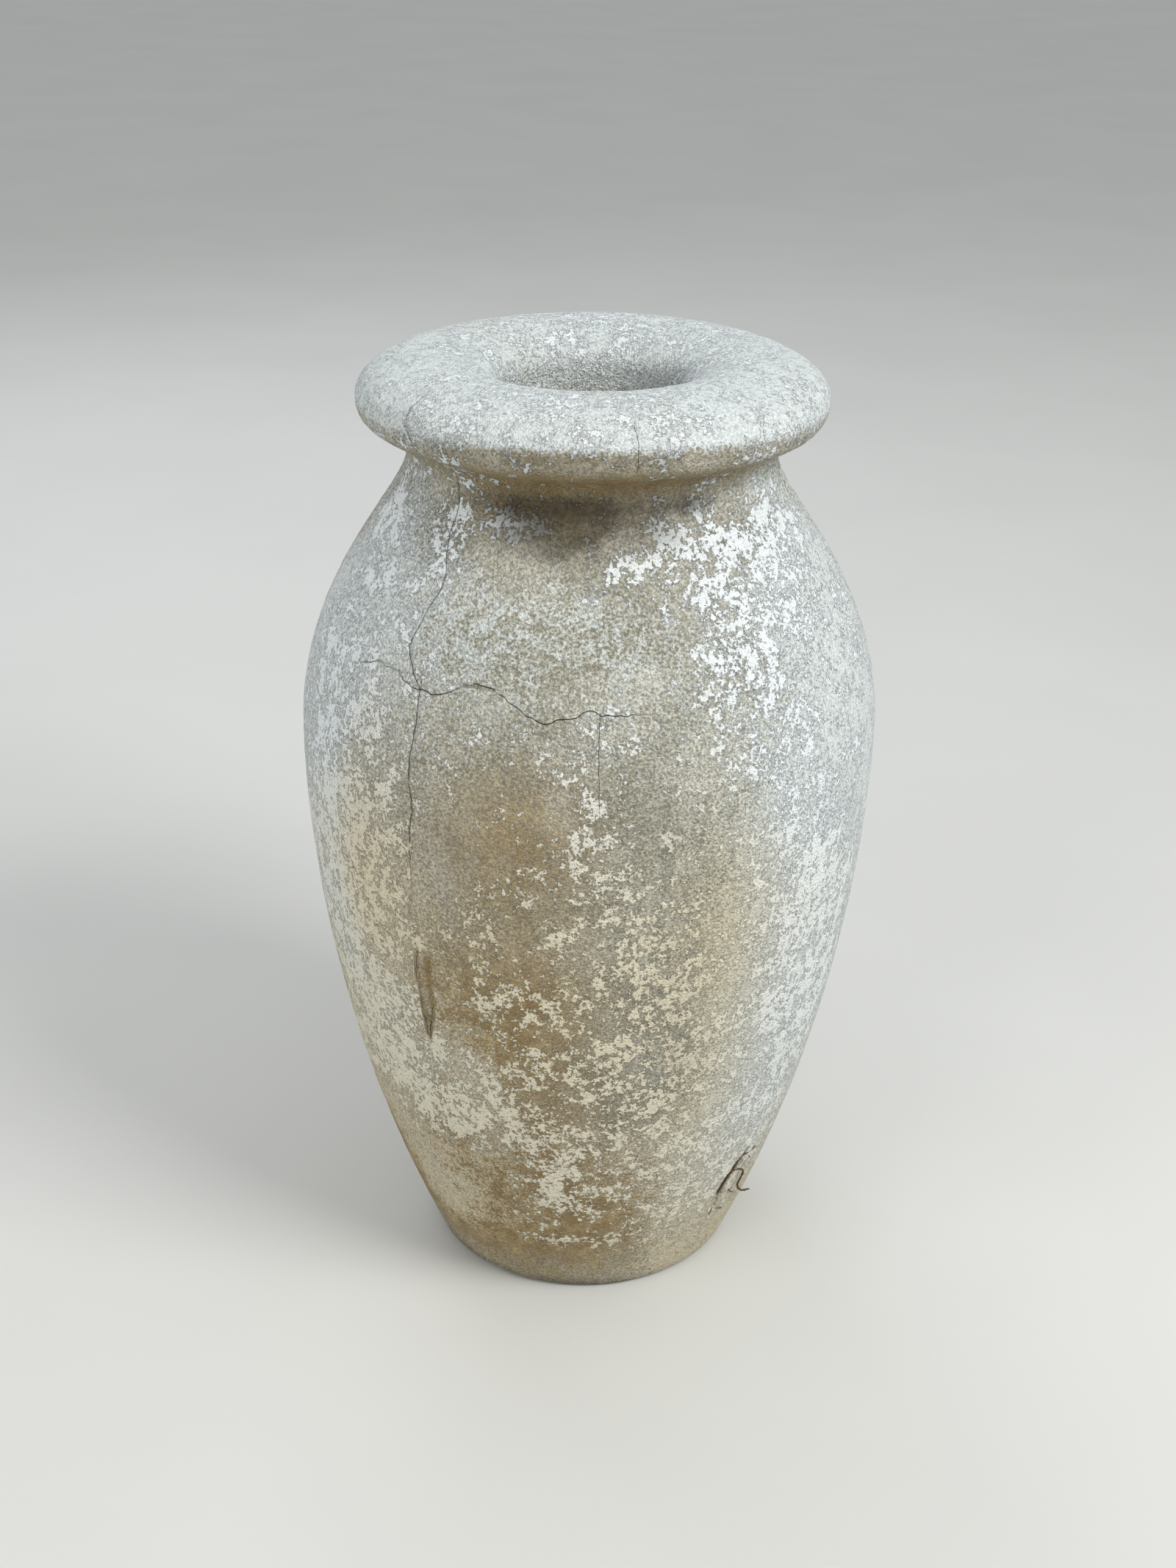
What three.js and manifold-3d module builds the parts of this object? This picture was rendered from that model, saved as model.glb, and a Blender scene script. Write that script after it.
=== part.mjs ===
// Tall cement garden jar: a rolled rim on a narrow throat, a round shoulder and a body that tapers to a flat foot.
// Four cement castings are bedded on thin mortar joints, round a cage of steel wire that has rusted.
// Millimetres, +Z up. The foot stands on z = 0, the jar's axis is Z, and the front faces -Y.
// Angles are degrees round the jar from the front, positive towards +X.

import * as THREE from 'three';
import { mergeVertices } from 'three/addons/utils/BufferGeometryUtils.js';
import Module from 'manifold-3d';

const wasm = await Module();
wasm.setup();

// ---- Driving dimensions -------------------------------------------------------------------------

// Outside of the jar
const HEIGHT = 610;          // floor to the crest of the rim
const BELLY_R = 181.4;       // widest radius
const FOOT_R = 102.5;        // radius of the flat foot
const NECK_R = 112;          // narrowest radius, under the rim
const RIM_R = 141.5;         // outer radius of the rolled rim
const THROAT_R = 56;         // radius of the throat
const FOOT_EDGE = 3;         // worn edge round the foot

// Thickness of the cement
const WALL = 24;             // body wall
const SLAB = 36;             // foot slab
const BED = 5;               // mortar joint between two castings, thick enough to bury a hoop
const RAKE = 0.6;            // how far a joint stands back from the outside
const GAP = 0.3;             // clearance between two pieces that touch
const DRAIN_R = 12;          // drain hole in the foot slab

// Wire cage
const WIRE_R = 1.5;          // steel wire
const UPRIGHTS = 8;          // wires that run from foot to rim
const FIRST_UPRIGHT = -41;   // angle of the first one, under the long crack

// Split over one upright, with its two loose strands
const SPLIT_UPRIGHT = 2;     // counted on from the first upright
const SPLIT_W = 6.5;         // width at the middle
const SPLIT_L = 66;          // length along the wall
const SPLIT_SLANT = 14;      // degrees off upright, its top end turned towards +X
const STRAND_R = 0.8;        // thin strands frayed from a tie wire

// Steps round and along
const ROUND = 40;            // round a casting
const HOOP_ROUND = 24;       // round a hoop, a multiple of UPRIGHTS so that its corners meet them
const WIRE_SIDES = 6;
const WALL_STEPS = 12;       // along each half of the body

// ---- Levels, all measured up from the floor -----------------------------------------------------

const BELLY_Z = 0.618 * HEIGHT;
const SHOULDER_Z = 0.737 * HEIGHT;          // joint between body and shoulder castings
const NECK_Z = 0.905 * HEIGHT;              // joint between shoulder and rim castings
const RIM_Z = 0.961 * HEIGHT;               // widest level of the rim
const THROAT_Z = NECK_Z + 0.057 * HEIGHT;   // where the mouth starts to open out
const CREST_R = (RIM_R + THROAT_R) / 2 - 1; // radius of the rim's crest

// Each mortar joint lies just under the level where the next casting starts, clear of both by GAP.
const LAYER = BED + 2 * GAP;
const BODY_Z = SLAB + LAYER;

// A hoop is buried in each joint, and one in the rim.
const HOOP_LEVELS = {
  foot: BODY_Z - LAYER / 2,
  shoulder: SHOULDER_Z - LAYER / 2,
  neck: NECK_Z - LAYER / 2,
  rim: RIM_Z,
};

// ---- Outline curves, as [radius, level] pairs ----------------------------------------------------

const lerp = (a, b, t) => a + (b - a) * t;

function bezier(ends, steps) {
  const [a, b, c, d] = ends.map(([r, z]) => new THREE.Vector2(r, z));
  const curve = new THREE.CubicBezierCurve(a, b, c, d);
  return curve.getPoints(steps).map((p) => [p.x, p.y]);
}

// Quarter of an ellipse between two points, leaving the first one vertically.
function quarter(from, to, steps) {
  return Array.from({ length: steps + 1 }, (_, i) => {
    const t = (i / steps) * Math.PI / 2;
    return [lerp(to[0], from[0], Math.cos(t)), lerp(from[1], to[1], Math.sin(t))];
  });
}

// Radius of an outline at one level, between its nearest points.
function radiusAt(outline, z) {
  const last = outline.length - 1;
  const above = outline.findIndex((p) => p[1] >= z);
  const i = Math.max(1, above < 0 ? last : above);
  const [a, b] = [outline[i - 1], outline[i]];
  return lerp(a[0], b[0], (z - a[1]) / (b[1] - a[1]));
}

// The outline between two levels, cut square at both.
function between(outline, low, high) {
  const inside = outline.filter((p) => p[1] > low + 0.5 && p[1] < high - 0.5);
  return [[radiusAt(outline, low), low], ...inside, [radiusAt(outline, high), high]];
}

const BELLY_LIFT = 0.197 * HEIGHT;
const SHOULDER_LIFT = 0.155 * HEIGHT;
const NECK_DROP = 0.045 * HEIGHT;

const outside = [
  ...bezier([
    [FOOT_R, 0],
    [lerp(FOOT_R, BELLY_R, 0.667), 0.2 * HEIGHT],
    [BELLY_R, BELLY_Z - BELLY_LIFT],
    [BELLY_R, BELLY_Z],
  ], WALL_STEPS),
  ...bezier([
    [BELLY_R, BELLY_Z],
    [BELLY_R, BELLY_Z + SHOULDER_LIFT],
    [NECK_R, NECK_Z - NECK_DROP],
    [NECK_R, NECK_Z],
  ], WALL_STEPS).slice(1),
];

// The inside keeps the wall's thickness up to the belly, then closes in on the narrower throat.
const inside = [
  ...bezier([
    [FOOT_R - WALL, 0],
    [lerp(FOOT_R, BELLY_R, 0.667) - WALL, 0.2 * HEIGHT],
    [BELLY_R - WALL, BELLY_Z - BELLY_LIFT],
    [BELLY_R - WALL, BELLY_Z],
  ], WALL_STEPS),
  ...bezier([
    [BELLY_R - WALL, BELLY_Z],
    [BELLY_R - WALL, BELLY_Z + 0.88 * SHOULDER_LIFT],
    [THROAT_R, NECK_Z - 1.9 * NECK_DROP],
    [THROAT_R, NECK_Z],
  ], WALL_STEPS).slice(1),
];

const underRim = bezier([
  [NECK_R, NECK_Z],
  [NECK_R, NECK_Z + 0.034 * HEIGHT],
  [RIM_R, RIM_Z - 0.038 * HEIGHT],
  [RIM_R, RIM_Z],
], 8);
const overRim = quarter([RIM_R, RIM_Z], [CREST_R, HEIGHT], 6);
const mouth = quarter([THROAT_R, THROAT_Z], [CREST_R, HEIGHT], 6).reverse();

// ---- Solids -------------------------------------------------------------------------------------

function solid(geometry) {
  geometry.deleteAttribute('normal');
  geometry.deleteAttribute('uv');
  const merged = mergeVertices(geometry, 1e-4);
  return new wasm.Manifold(new wasm.Mesh({
    numProp: 3,
    vertProperties: new Float32Array(merged.attributes.position.array),
    triVerts: new Uint32Array(merged.index.array),
  }));
}

// Turns a closed outline round the jar's axis. It runs up the outside and down the inside.
function turned(outline, around = ROUND) {
  const points = outline.map(([r, z]) => new THREE.Vector2(r, z));
  if (points[0].x > 0) points.push(points[0].clone());
  return solid(new THREE.LatheGeometry(points, around).rotateX(Math.PI / 2));
}

// Round bar along a path, with its corners at the given radius and its rings evenly spread over the path's points.
function bar(path, radius, steps) {
  path.getUtoTmapping = (u) => u;
  const corners = Array.from({ length: WIRE_SIDES }, (_, i) => {
    const t = (i / WIRE_SIDES) * 2 * Math.PI;
    return new THREE.Vector2(radius * Math.cos(t), radius * Math.sin(t));
  });
  return solid(new THREE.ExtrudeGeometry(new THREE.Shape(corners), {
    steps,
    bevelEnabled: false,
    extrudePath: path,
  }));
}

function around(degrees, r, z) {
  const a = THREE.MathUtils.degToRad(degrees);
  return new THREE.Vector3(r * Math.sin(a), -r * Math.cos(a), z);
}

// ---- Wire cage, in channels that clear it by GAP on the flats -----------------------------------

const CHANNEL_R = (WIRE_R + GAP) / Math.cos(Math.PI / WIRE_SIDES);
const CAGE_LOW = SLAB / 3;
const CAGE_HIGH = RIM_Z + 2 * WIRE_R;
const CAGE_STEPS = 14;

// The line that every upright follows, halfway through the wall at each of its points.
const cageLine = Array.from({ length: CAGE_STEPS + 1 }, (_, i) => {
  const z = lerp(CAGE_LOW, CAGE_HIGH, i / CAGE_STEPS);
  const level = Math.min(z, NECK_Z);
  return [(radiusAt(outside, level) + radiusAt(inside, level)) / 2, z];
});

function uprightPath(degrees, over) {
  const points = cageLine.map(([r, z]) => around(degrees, r, z));
  points[0].z -= over;
  points[CAGE_STEPS].z += over;
  return new THREE.CatmullRomCurve3(points);
}

// A hoop runs round the outer side of the uprights, further out where they slope so that it clears them.
function hoop(level, wire) {
  const r = radiusAt(cageLine, level);
  const slope = (radiusAt(cageLine, level + 2) - radiusAt(cageLine, level - 2)) / 4;
  const offset = (2 * WIRE_R + GAP) * Math.hypot(1, slope);
  const section = Array.from({ length: WIRE_SIDES }, (_, i) => {
    const t = (i / WIRE_SIDES) * 2 * Math.PI;
    return [r + offset + wire * Math.cos(t), level + wire * Math.sin(t)];
  });
  return turned(section, HOOP_ROUND).rotate([0, 0, FIRST_UPRIGHT]);
}

const wires = {};
const channels = [];
for (let i = 0; i < UPRIGHTS; i += 1) {
  const degrees = FIRST_UPRIGHT + (i * 360) / UPRIGHTS;
  wires[`upright_${i + 1}`] = bar(uprightPath(degrees, 0), WIRE_R, CAGE_STEPS);
  channels.push(bar(uprightPath(degrees, GAP), CHANNEL_R, CAGE_STEPS));
}
for (const [level, z] of Object.entries(HOOP_LEVELS)) {
  wires[`hoop_${level}`] = hoop(z, WIRE_R);
  channels.push(hoop(z, CHANNEL_R));
}
const cage = wasm.Manifold.union(channels);

// ---- Split in the body wall, opened by the rust of the upright behind it -------------------------

const SPLIT_AT = FIRST_UPRIGHT + (SPLIT_UPRIGHT * 360) / UPRIGHTS;
const SPLIT_Z = 0.135 * HEIGHT;
const splitR = radiusAt(outside, SPLIT_Z);
const lean = Math.atan2(radiusAt(outside, SPLIT_Z + 10) - splitR, 10);
const coverR = splitR - radiusAt(cageLine, SPLIT_Z) + 1;

function splitTool() {
  const lens = new THREE.Shape();
  lens.moveTo(0, -SPLIT_L / 2);
  lens.quadraticCurveTo(SPLIT_W, 0, 0, SPLIT_L / 2);
  lens.quadraticCurveTo(-SPLIT_W, 0, 0, -SPLIT_L / 2);
  const depth = coverR + WALL / 4;
  const tool = new THREE.ExtrudeGeometry(lens, { depth, bevelEnabled: false, curveSegments: 6 });
  tool.translate(0, 0, -coverR);
  tool.rotateZ(-THREE.MathUtils.degToRad(SPLIT_SLANT));
  tool.rotateX(Math.PI / 2 + lean);
  tool.translate(0, -splitR, SPLIT_Z);
  tool.rotateZ(THREE.MathUtils.degToRad(SPLIT_AT));
  return solid(tool);
}

// A strand is given by steps across the split, along it and out from the wall.
function strand(steps) {
  const origin = new THREE.Vector2();
  const points = steps.map(([across, along, out]) => {
    const place = new THREE.Vector2(across, along);
    place.rotateAround(origin, -THREE.MathUtils.degToRad(SPLIT_SLANT));
    const z = SPLIT_Z + place.y * Math.cos(lean);
    const degrees = SPLIT_AT + THREE.MathUtils.radToDeg(place.x / splitR);
    return around(degrees, radiusAt(outside, z) + out, z);
  });
  return bar(new THREE.CatmullRomCurve3(points), STRAND_R, 4 * points.length);
}

wires.strand_hook = strand([
  [1.2, 8, -4],
  [1.8, 6, 0],
  [3.2, 3, 2.2],
  [4.2, -3, 2.4],
  [3.6, -9, 2.6],
  [4.6, -13, 3],
  [7, -16, 4.5],
]);
wires.strand_straight = strand([
  [0, 24, -2.4],
  [-0.2, 14, -1.6],
  [-0.9, 4, -1.2],
  [-1.0, -6, -1.2],
  [-0.6, -17, -2],
]);

// ---- Castings and joints --------------------------------------------------------------------------

function ringBetween(low, high, rake = 0) {
  const outer = between(outside, low, high).map(([r, z]) => [r - rake, z]);
  const inner = between(inside, low, high).map(([r, z]) => [r + rake, z]);
  return turned([...outer, ...inner.reverse()]);
}

const joint = (level) => ringBetween(level - LAYER + GAP, level - GAP, RAKE);

const slab = turned([
  [DRAIN_R, 0],
  [FOOT_R - FOOT_EDGE, 0],
  ...between(outside, FOOT_EDGE, SLAB),
  [DRAIN_R, SLAB],
]);
const rim = turned([...underRim, ...overRim.slice(1), ...mouth.slice(1), [THROAT_R, NECK_Z]]);

const castings = {
  foot_slab: slab,
  body_wall: ringBetween(BODY_Z, SHOULDER_Z - LAYER).subtract(splitTool()),
  shoulder_wall: ringBetween(SHOULDER_Z, NECK_Z - LAYER),
  rim_ring: rim,
};
const beds = {
  bed_foot: joint(BODY_Z),
  bed_shoulder: joint(SHOULDER_Z),
  bed_neck: joint(NECK_Z),
};

// ---- Assembly -------------------------------------------------------------------------------------

function meshOf(name, body, look) {
  const { vertProperties, triVerts } = body.getMesh();
  const geometry = new THREE.BufferGeometry();
  geometry.setAttribute('position', new THREE.BufferAttribute(vertProperties, 3));
  geometry.setIndex(new THREE.BufferAttribute(triVerts, 1));
  geometry.computeVertexNormals();
  const mesh = new THREE.Mesh(geometry, new THREE.MeshStandardMaterial(look));
  mesh.name = name;
  return mesh;
}

const CEMENT = { color: 0xb9b3a4, roughness: 0.95, metalness: 0 };
const MORTAR = { color: 0x9d968a, roughness: 1, metalness: 0 };
const STEEL = { color: 0x5a3a28, roughness: 0.85, metalness: 0.3 };

const jar = new THREE.Group();
jar.name = 'garden_jar';
for (const [name, body] of Object.entries(castings)) {
  jar.add(meshOf(name, body.subtract(cage), CEMENT));
}
for (const [name, body] of Object.entries(beds)) {
  jar.add(meshOf(name, body.subtract(cage), MORTAR));
}
for (const [name, body] of Object.entries(wires)) {
  jar.add(meshOf(name, body, STEEL));
}

export default jar;
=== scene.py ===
import itertools
import math

import bpy
import numpy as np
from mathutils import Matrix, Vector


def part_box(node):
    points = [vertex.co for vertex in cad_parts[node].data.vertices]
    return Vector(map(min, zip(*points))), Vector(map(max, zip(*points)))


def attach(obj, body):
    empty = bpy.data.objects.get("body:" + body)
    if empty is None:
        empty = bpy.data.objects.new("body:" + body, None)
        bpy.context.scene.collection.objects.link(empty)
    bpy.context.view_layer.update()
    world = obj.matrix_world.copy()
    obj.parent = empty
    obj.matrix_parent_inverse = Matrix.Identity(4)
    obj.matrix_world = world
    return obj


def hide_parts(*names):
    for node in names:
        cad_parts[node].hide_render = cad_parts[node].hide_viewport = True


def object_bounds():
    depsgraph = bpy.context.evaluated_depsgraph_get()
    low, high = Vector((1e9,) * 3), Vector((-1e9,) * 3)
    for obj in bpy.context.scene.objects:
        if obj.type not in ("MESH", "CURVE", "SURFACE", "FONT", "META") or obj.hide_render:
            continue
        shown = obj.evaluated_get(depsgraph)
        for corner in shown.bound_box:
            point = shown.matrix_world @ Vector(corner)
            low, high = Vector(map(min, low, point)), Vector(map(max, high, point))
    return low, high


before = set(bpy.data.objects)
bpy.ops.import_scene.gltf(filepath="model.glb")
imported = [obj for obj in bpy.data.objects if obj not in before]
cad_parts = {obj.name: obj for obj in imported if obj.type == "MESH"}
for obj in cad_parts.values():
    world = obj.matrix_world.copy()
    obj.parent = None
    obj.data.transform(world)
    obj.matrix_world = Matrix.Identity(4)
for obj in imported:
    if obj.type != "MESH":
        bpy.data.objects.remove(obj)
cad_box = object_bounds()

# A tall garden jar of sand-cement with the last of a white limewash on it. The frame's castings, mortar
# joints and strands are replaced by finer ones: worn, stained, cracked and flaking. The wires inside the
# wall keep the frame's shape. Metres, +Z up, the front faces -Y. Azimuths are degrees round the jar from
# the front, positive towards +X. Levels are metres above the floor.

MM = 0.001
HEIGHT = float(cad_box[1][2])

# ---- Camera, light and floor ----

CAMERA_BACK = 1.9775 * HEIGHT
CAMERA_UP = 1.4847 * HEIGHT
CAMERA_PITCH = 25.64
CAMERA_ROLL = 0.74
LENS = 47.26

camera = bpy.data.objects.new("camera", bpy.data.cameras.new("camera"))
camera.data.lens = LENS
camera.data.sensor_width = 36.0
camera.matrix_world = (
    Matrix.Translation((0.0, -CAMERA_BACK, CAMERA_UP))
    @ Matrix.Rotation(math.radians(90 - CAMERA_PITCH), 4, "X")
    @ Matrix.Rotation(math.radians(CAMERA_ROLL), 4, "Z")
)
bpy.context.scene.collection.objects.link(camera)
bpy.context.scene.camera = camera
bpy.context.scene.view_settings.view_transform = "Standard"


def linear(hex_colour):
    """The sRGB hex colour as linear RGBA."""
    srgb = [int(hex_colour[i : i + 2], 16) / 255 for i in (0, 2, 4)]
    return [c / 12.92 if c <= 0.04045 else ((c + 0.055) / 1.055) ** 2.4 for c in srgb] + [1.0]


def add(tree, kind, inputs=None, **settings):
    """A new node of that kind. settings are its properties, and inputs maps its sockets to values or to
    other sockets."""
    made = tree.nodes.new(kind)
    for name, value in settings.items():
        setattr(made, name, value)
    for name, value in (inputs or {}).items():
        if isinstance(value, bpy.types.NodeSocket):
            tree.links.new(value, made.inputs[name])
        else:
            made.inputs[name].default_value = value
    return made


def soft_light(name, place, target, size, watts, colour):
    """A square soft box at a place, turned to face the target."""
    lamp = bpy.data.lights.new(name, "AREA")
    lamp.size = size
    lamp.energy = watts
    lamp.color = linear(colour)[:3]
    holder = bpy.data.objects.new(name, lamp)
    aim = (Vector(target) - Vector(place)).to_track_quat("-Z", "Y")
    holder.matrix_world = Matrix.Translation(place) @ aim.to_matrix().to_4x4()
    bpy.context.scene.collection.objects.link(holder)


middle = (0.0, 0.0, HEIGHT / 2)
soft_light("key_softbox", (1.75, -1.35, 2.3), middle, 1.2, 66, "fffdf8")
soft_light("fill_softbox", (-1.9, -1.9, 1.4), middle, 2.2, 24, "fff9ee")
soft_light("back_softbox", (-0.9, 1.9, 2.0), middle, 1.6, 18, "f6f8ff")

world = bpy.data.worlds.new("studio")
world.use_nodes = True
world.node_tree.nodes["Background"].inputs["Color"].default_value = linear("eceeef")
world.node_tree.nodes["Background"].inputs["Strength"].default_value = 0.66
bpy.context.scene.world = world


def matt_floor():
    """Pale matt studio floor: a painted board, faintly uneven in tone."""
    material = bpy.data.materials.new("pale_floor_paint")
    material.use_nodes = True
    tree = material.node_tree
    shader = tree.nodes["Principled BSDF"]
    place = add(tree, "ShaderNodeTexCoord").outputs["Object"]
    cloud = add(tree, "ShaderNodeTexNoise", {"Vector": place, "Scale": 3.0, "Detail": 3.0})
    tone = add(
        tree,
        "ShaderNodeMix",
        {"Factor": cloud.outputs["Fac"], "A": linear("c9cac8"), "B": linear("d2d3d1")},
        data_type="RGBA",
    )
    tree.links.new(tone.outputs["Result"], shader.inputs["Base Color"])
    shader.inputs["Roughness"].default_value = 0.85
    return material


FLOOR = 20.0
floor_mesh = bpy.data.meshes.new("floor")
floor_mesh.from_pydata(
    [(-FLOOR, -FLOOR, 0), (FLOOR, -FLOOR, 0), (FLOOR, FLOOR, 0), (-FLOOR, FLOOR, 0)], [], [(0, 1, 2, 3)]
)
floor = bpy.data.objects.new("floor", floor_mesh)
bpy.context.scene.collection.objects.link(floor)
floor_mesh.materials.append(matt_floor())

# ---- Outline of the jar ----

BELLY_R = float(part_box("body_wall")[1][0])
RIM_R = float(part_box("rim_ring")[1][0])
FOOT_R = 0.168 * HEIGHT
NECK_R = 0.1836 * HEIGHT
THROAT_R = 0.0918 * HEIGHT
WALL = 24 * MM
FOOT_EDGE = 3 * MM
DRAIN_R = 12 * MM

BELLY_Z = 0.618 * HEIGHT
RIM_Z = 0.961 * HEIGHT
SLAB_Z = float(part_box("foot_slab")[1][2])
BODY_Z = float(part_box("body_wall")[0][2])
BODY_TOP = float(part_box("body_wall")[1][2])
SHOULDER_Z = float(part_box("shoulder_wall")[0][2])
SHOULDER_TOP = float(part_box("shoulder_wall")[1][2])
NECK_Z = float(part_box("rim_ring")[0][2])
THROAT_Z = NECK_Z + 0.057 * HEIGHT
CREST_R = (RIM_R + THROAT_R) / 2 - MM


def bezier(a, b, c, d, count=60):
    """Points of the cubic Bezier curve that leaves a towards b and reaches d from c."""
    t = np.linspace(0, 1, count)[:, None]
    a, b, c, d = (np.array(p, float) for p in (a, b, c, d))
    return (1 - t) ** 3 * a + 3 * (1 - t) ** 2 * t * b + 3 * (1 - t) * t**2 * c + t**3 * d


def quarter(start, end, count=40):
    """Quarter of an ellipse from start to end: the radius follows a cosine and the level a sine."""
    t = np.linspace(0, math.pi / 2, count)
    radius = end[0] + (start[0] - end[0]) * np.cos(t)
    level = start[1] + (end[1] - start[1]) * np.sin(t)
    return np.stack([radius, level], axis=1)


def wall_line(inwards, top_r, top_z, lift, drop):
    """A side of the wall from the floor to the neck: two Bezier curves that meet upright at the belly."""
    foot, belly = FOOT_R - inwards, BELLY_R - inwards
    low = bezier(
        (foot, 0),
        (FOOT_R + 0.667 * (BELLY_R - FOOT_R) - inwards, 0.2 * HEIGHT),
        (belly, BELLY_Z - 0.197 * HEIGHT),
        (belly, BELLY_Z),
    )
    high = bezier((belly, BELLY_Z), (belly, BELLY_Z + lift), (top_r, top_z - drop), (top_r, top_z))
    return np.concatenate([low, high[1:]])


outside = wall_line(0.0, NECK_R, NECK_Z, 0.155 * HEIGHT, 0.045 * HEIGHT)
inside = wall_line(WALL, THROAT_R, NECK_Z, 0.1364 * HEIGHT, 0.0855 * HEIGHT)
under_rim = bezier(
    (NECK_R, NECK_Z), (NECK_R, NECK_Z + 0.034 * HEIGHT), (RIM_R, RIM_Z - 0.038 * HEIGHT), (RIM_R, RIM_Z)
)
over_rim = quarter((RIM_R, RIM_Z), (CREST_R, HEIGHT))
mouth = quarter((THROAT_R, THROAT_Z), (CREST_R, HEIGHT))[::-1]
throat = np.array([(THROAT_R, THROAT_Z), (THROAT_R, NECK_Z)])

# The skin line runs from the foot up over the rim and down the throat, and skin_s is the distance along it.
skin_line = np.concatenate([outside, under_rim[1:], over_rim[1:], mouth[1:], throat[1:]])
skin_line = skin_line[np.r_[True, np.hypot(*np.diff(skin_line, axis=0).T) > 1e-7]]
skin_s = np.r_[0, np.cumsum(np.hypot(*np.diff(skin_line, axis=0).T))]


def along(level):
    """Distance along the skin line, from the foot, where the outside wall reaches a level."""
    rising = len(outside) + len(under_rim) - 2
    return np.interp(level, skin_line[:rising, 1], skin_s[:rising])


def inside_between(high, low, count):
    """Points of the inside wall from one level down to another."""
    levels = np.linspace(high, low, count)
    return np.stack([np.interp(levels, inside[:, 1], inside[:, 0]), levels], axis=1)


# ---- Patterns of wear and painted shade, as functions of place ----


def lattice_noise(points, cell, seed):
    """Smooth noise from -1 to 1. Every corner of a cubic lattice holds a hashed value, and a point takes
    the blend of its eight corners by a quintic curve. cell is the lattice's size, one number or one for
    each axis."""
    scaled = points / np.asarray(cell, float)
    corner = np.floor(scaled).astype(np.int64)
    t = scaled - corner
    t = t * t * t * (t * (6 * t - 15) + 10)
    total = np.zeros(points.shape[:-1])
    for step in itertools.product((0, 1), repeat=3):
        c = corner + np.array(step)
        h = (c[..., 0] * 73856093) ^ (c[..., 1] * 19349663) ^ (c[..., 2] * 83492791) ^ (seed * 2654435761)
        h = ((h ^ (h >> 13)) * 1274126177) & 0x7FFFFFFF
        value = ((h ^ (h >> 15)) & 0xFFFF) / 32767.5 - 1
        total += value * np.prod(np.where(step, t, 1 - t), axis=-1)
    return total


def ease(low, high, x):
    """0 below low, 1 above high, and a smooth S between them."""
    t = np.clip((x - low) / (high - low), 0, 1)
    return t * t * (3 - 2 * t)


def window(low, full, ebb, high, x):
    """1 from full to ebb, 0 below low and above high, and a smooth S on both sides."""
    return ease(low, full, x) * (1 - ease(ebb, high, x))


def turn_of(azimuth):
    """The azimuth as a number from -180 to 180."""
    return (azimuth + 180) % 360 - 180


def spots(azimuth, level, table):
    """Sum of soft spots. Each row of the table is azimuth, level in mm, half-width in degrees, half-height
    in mm and amount, and adds amount * exp(-(turn / half-width)^2 - (rise / half-height)^2)."""
    total = np.zeros(azimuth.shape)
    for at, up, across, tall, amount in table:
        turn = turn_of(azimuth - at)
        total += amount * np.exp(-((turn / across) ** 2) - ((level / MM - up) / tall) ** 2)
    return total


# Where thick flakes of limewash have held (positive) and where they have gone (negative)
FLAKE_SPOTS = [
    (-72, 520, 11, 26, 0.15),
    (-60, 450, 12, 40, 0.14),
    (-41, 532, 6, 26, 0.14),
    (-47, 425, 8, 16, 0.10),
    (-21, 539, 9, 9, 0.30),
    (-10, 490, 22, 36, -0.20),
    (-19, 441, 14, 11, 0.06),
    (12, 522, 8, 8, 0.12),
    (32, 524, 25, 18, 0.15),
    (10, 505, 16, 14, 0.08),
    (50, 500, 14, 24, 0.08),
    (22, 536, 12, 10, 0.06),
    (33, 480, 10, 32, 0.11),
    (58, 524, 14, 16, 0.18),
    (60, 480, 18, 20, 0.06),
    (38, 420, 14, 40, 0.09),
    (-47, 345, 11, 44, 0.28),
    (-64, 300, 16, 110, 0.24),
    (-22, 385, 16, 40, -0.08),
    (2, 350, 12, 40, 0.05),
    (12, 300, 14, 80, 0.08),
    (46, 330, 12, 50, 0.16),
    (56, 290, 14, 60, 0.10),
    (-50, 215, 16, 70, 0.22),
    (-27, 172, 14, 16, 0.26),
    (-36, 150, 14, 18, 0.16),
    (-14, 262, 12, 44, 0.02),
    (-4, 190, 16, 34, 0.05),
    (-18, 260, 2.2, 4, 0.30),
    (-6, 112, 8, 34, 0.17),
    (17, 200, 12, 90, 0.10),
    (-8, 56, 16, 5, 0.16),
    (-32, 85, 22, 50, -0.10),
    (-75, 60, 30, 60, -0.14),
    (10, 20, 40, 22, -0.18),
    (52, 230, 18, 90, 0.24),
    (40, 100, 16, 50, 0.10),
    (150, 500, 26, 40, 0.16),
    (-130, 480, 22, 40, 0.15),
    (110, 330, 24, 80, 0.10),
    (-160, 260, 34, 70, 0.12),
    (-110, 180, 20, 60, 0.10),
    (175, 90, 40, 50, -0.14),
]
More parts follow.
